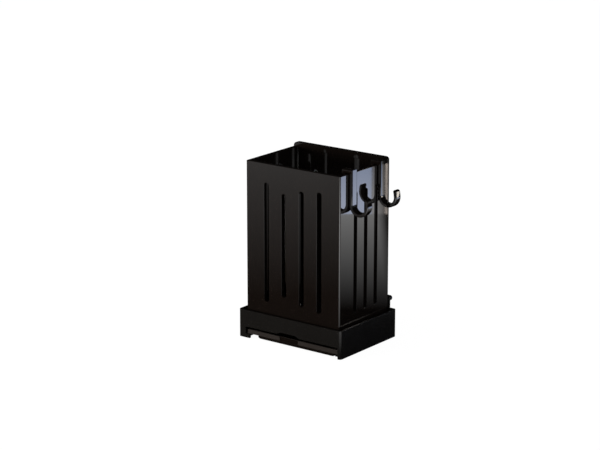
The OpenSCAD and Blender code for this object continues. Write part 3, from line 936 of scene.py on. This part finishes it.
class RACK_OT_bracket_screws(bpy.types.Operator):
    """Models the four screws that hold the bracket"""
    bl_idname = "rack.bracket_screws"
    bl_label = "Bracket screws"

    def execute(self, context):
        s = context.scene.rack_sizes
        low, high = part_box("bracket_screws")
        head_t, dome, soft = 2.0 * MM, 0.6 * MM, 0.12 * MM
        screw = add_rod("zinc_screws", (0, low.y + head_t / 2, 0), s.screw_head, head_t, Y, 40)
        # Domed rim of the head
        round_edges(screw, lambda e: middle(e).y < low.y + NEAR and is_sharp(e), dome, 4)
        shank = add_rod(
            "shank", (0, (low.y + head_t + high.y) / 2 - SINK / 2, 0), s.screw_shank,
            high.y - low.y - head_t + SINK, Y, 24)
        combine(screw, "UNION", shank)
        # Cross recess
        arm, half, deep = 1.7 * MM, 0.45 * MM, 1.1 * MM
        for reach_x, reach_z in ((arm, half), (half, arm)):
            slit = add_block(
                "slit", (-reach_x, low.y - CUT, -reach_z), (reach_x, low.y + deep, reach_z))
            combine(screw, "DIFFERENCE", slit)
        soften(screw, soft, 2)
        piece = join(at_screws(screw, s.screw_head))
        piece.name = "zinc_screws"
        dress(piece, zinc_steel(context), "rack", "bracket_screws")
        return {"FINISHED"}


class RACK_OT_stage(bpy.types.Operator):
    """Sets up the floor, the world, the lamps and the camera"""
    bl_idname = "rack.stage"
    bl_label = "Stage"

    def execute(self, context):
        self.floor()
        self.world(context)
        self.lamps(context)
        self.camera(context)
        context.scene.view_settings.view_transform = "Standard"
        return {"FINISHED"}

    def floor(self):
        """White floor. Mirror images see painted shade round the object and painted pools of
        light on it.
        """
        gap = 0.2 * MM
        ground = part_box("base")[0].z - gap
        pick(None)
        bpy.ops.mesh.primitive_plane_add(size=8.0, location=(0, 0, ground))
        floor = settle("studio_floor")
        material, shader = new_material("white studio floor")
        tree = material.node_tree
        tree.nodes.remove(shader)
        place = add_node(material, "ShaderNodeTexCoord").outputs["Object"]
        # Each painted pool of light: centre, radius, strength at the centre, power of the fall
        painted_light_pools = [((0.45, 0.42), 0.48, 2.2, 1.2), ((0.42, -0.52), 0.52, 6.0, 1.0)]
        light = None
        for (x, y), radius, strength, power in painted_light_pools:
            near = add_node(material, "ShaderNodeVectorMath", {
                0: place, 1: (x, y, ground)}, operation="DISTANCE").outputs["Value"]
            fall = ramp(material, near, 0.0, radius, 1.0, 0.0)
            glow = maths(material, "MULTIPLY", maths(material, "POWER", fall, power), strength)
            light = glow if light is None else maths(material, "MAXIMUM", light, glow)
        # The first painted pool of light ends at a straight edge behind the object
        across = add_node(material, "ShaderNodeVectorMath", {
            0: place, 1: (0.796, -0.605, 0.0)}, operation="DOT_PRODUCT").outputs["Value"]
        edge = ramp(material, across, 0.041, 0.054, 0.06, 1.0)
        light = maths(material, "MULTIPLY", light, edge)
        # Painted shade round the object, which fades out towards the front left
        away = add_node(material, "ShaderNodeVectorMath", {
            0: place, 1: (-0.6, -0.8, 0.0)}, operation="DOT_PRODUCT").outputs["Value"]
        shade = ramp(material, away, 0.275, 0.964, 0.0, 0.55)
        # Mirrored rays see the painted pools of light and the painted shade, not the lit floor
        mirrored = maths(material, "MAXIMUM", light, shade)
        camera_ray, direct = sight_rays(material)
        seen = add_node(material, "ShaderNodeMix", {0: camera_ray, 2: mirrored, 3: 0.97})
        white = add_node(material, "ShaderNodeEmission", {"Strength": seen.outputs[0]})
        # A little of the real floor stays in view, so that the object keeps a faint shadow
        faint = add_node(material, "ShaderNodeBsdfDiffuse", {"Color": (0.1, 0.1, 0.1, 1.0)})
        view = add_node(material, "ShaderNodeAddShader", {
            0: white.outputs["Emission"], 1: faint.outputs["BSDF"]})
        pale = add_node(material, "ShaderNodeBsdfDiffuse", {"Color": (0.8, 0.8, 0.8, 1.0)})
        sight = add_node(material, "ShaderNodeMixShader", {
            0: camera_ray, 1: white.outputs["Emission"], 2: view.outputs["Shader"]})
        both = add_node(material, "ShaderNodeMixShader", {
            0: direct, 1: pale.outputs["BSDF"], 2: sight.outputs["Shader"]})
        output = tree.nodes["Material Output"]
        tree.links.new(both.outputs["Shader"], output.inputs["Surface"])
        floor.data.materials.append(material)

    def world(self, context):
        """White to the camera; mirror images see painted shade that darkens it above the horizon.
        """
        world = bpy.data.worlds.new("white studio")
        context.scene.world = world
        world.use_nodes = True
        tree = world.node_tree
        tree.nodes.clear()
        toward = add_node(world, "ShaderNodeTexCoord").outputs["Generated"]
        height = add_node(world, "ShaderNodeSeparateXYZ", {"Vector": toward}).outputs["Z"]
        # Painted shade: only mirror images see the sky darken above the horizon, while it lights
        # the object evenly
        painted_sky_shade = ramp(world, height, 0.0, 0.12, 0.4, 0.005)
        camera_ray, direct = sight_rays(world)
        seen = add_node(world, "ShaderNodeMix", {0: camera_ray, 2: painted_sky_shade, 3: 1.0})
        white = add_node(world, "ShaderNodeBackground", {
            "Color": (1, 1, 1, 1), "Strength": seen.outputs[0]})
        soft = add_node(world, "ShaderNodeBackground", {
            "Color": (1, 1, 1, 1), "Strength": 0.36})
        both = add_node(world, "ShaderNodeMixShader", {
            0: direct, 1: soft.outputs["Background"], 2: white.outputs["Background"]})
        output = add_node(world, "ShaderNodeOutputWorld", {"Surface": both.outputs["Shader"]})
        output.is_active_output = True

    def lamps(self, context):
        """A soft box at the front left, and cards at the rear right that the gloss mirrors."""
        aim = Vector((0.0, -57.5 * MM, -60 * MM))
        rear = (-0.605, -0.796, 0)
        # Name, place, facing, width, height, radiance, colour
        boxes = [
            ("key softbox", (-0.85, -1.15, 0.03), None, 1.2, 0.34, 11.6, "#FFF8F0"),
            ("cool card", (0.527, 0.297, -0.126), rear, 0.36, 0.07, 2.5, "#BDD2FF"),
            ("grey card", (0.377, 0.411, -0.126), rear, 0.014, 0.07, 0.65, "#FFF8F4"),
            ("warm card", (0.368, 0.418, -0.126), rear, 0.0035, 0.07, 3.6, "#FFF0E4"),
            ("cream card", (0.406, 0.389, -0.02), rear, 0.015, 0.13, 8.0, "#FFF6EA"),
        ]
        for name, place, facing, width, height, radiance, code in boxes:
            lamp = bpy.data.lights.new(name, "AREA")
            lamp.shape = "RECTANGLE"
            lamp.size = width
            lamp.size_y = height
            lamp.energy = radiance * 4 * width * height
            lamp.color = srgb(code)
            box = bpy.data.objects.new(name, lamp)
            context.scene.collection.objects.link(box)
            box.location = place
            facing = Vector(facing) if facing else aim - box.location
            box.rotation_euler = facing.to_track_quat("-Z", "Y").to_euler()
            box.visible_camera = False
            # The key is too soft to leave a mirror image
            box.visible_glossy = name != "key softbox"

    def camera(self, context):
        """Camera at the photograph's angle, for an image of 600 by 450."""
        stage = context.scene.rack_stage
        lens = bpy.data.cameras.new("camera")
        lens.lens = stage.lens
        lens.sensor_width = 36.0
        lens.sensor_fit = "HORIZONTAL"
        lens.clip_start = 0.05
        camera = bpy.data.objects.new("camera", lens)
        context.scene.collection.objects.link(camera)
        a, e = stage.azimuth, stage.elevation
        back = Vector((math.sin(a) * math.cos(e), -math.cos(a) * math.cos(e), math.sin(e)))
        camera.location = Vector(stage.target) + back * stage.distance
        camera.rotation_euler = back.to_track_quat("Z", "Y").to_euler()
        context.scene.camera = camera


STEPS = (
    RACK_OT_basket, RACK_OT_drain_floor, RACK_OT_base, RACK_OT_drip_tray, RACK_OT_hooks,
    RACK_OT_catches, RACK_OT_wall_plate, RACK_OT_rear_bracket, RACK_OT_bracket_screws,
    RACK_OT_stage)


class RACK_PT_pieces(bpy.types.Panel):
    """Lists the rack's pieces, sizes and colours"""
    bl_idname = "RACK_PT_pieces"
    bl_label = "Wall utensil rack"
    bl_space_type = "VIEW_3D"
    bl_region_type = "UI"
    bl_category = "Rack"

    def draw(self, context):
        for step in STEPS:
            self.layout.operator(step.bl_idname)
        for group in ("rack_sizes", "rack_colours", "rack_stage"):
            values = getattr(context.scene, group)
            box = self.layout.box()
            for name in values.__annotations__:
                box.prop(values, name)


CLASSES = (RackSizes, RackColours, RackStage) + STEPS + (RACK_PT_pieces,)


def register():
    for item in CLASSES:
        bpy.utils.register_class(item)
    bpy.types.Scene.rack_sizes = bpy.props.PointerProperty(type=RackSizes)
    bpy.types.Scene.rack_colours = bpy.props.PointerProperty(type=RackColours)
    bpy.types.Scene.rack_stage = bpy.props.PointerProperty(type=RackStage)


def unregister():
    del bpy.types.Scene.rack_stage
    del bpy.types.Scene.rack_colours
    del bpy.types.Scene.rack_sizes
    for item in reversed(CLASSES):
        bpy.utils.unregister_class(item)


def main():
    register()
    bpy.ops.rack.stage()
    bpy.ops.rack.basket()
    bpy.ops.rack.drain_floor()
    bpy.ops.rack.base()
    bpy.ops.rack.drip_tray()
    bpy.ops.rack.hooks()
    bpy.ops.rack.catches()
    bpy.ops.rack.wall_plate()
    bpy.ops.rack.rear_bracket()
    bpy.ops.rack.bracket_screws()
    pick(None)


if __name__ == "__main__":
    main()
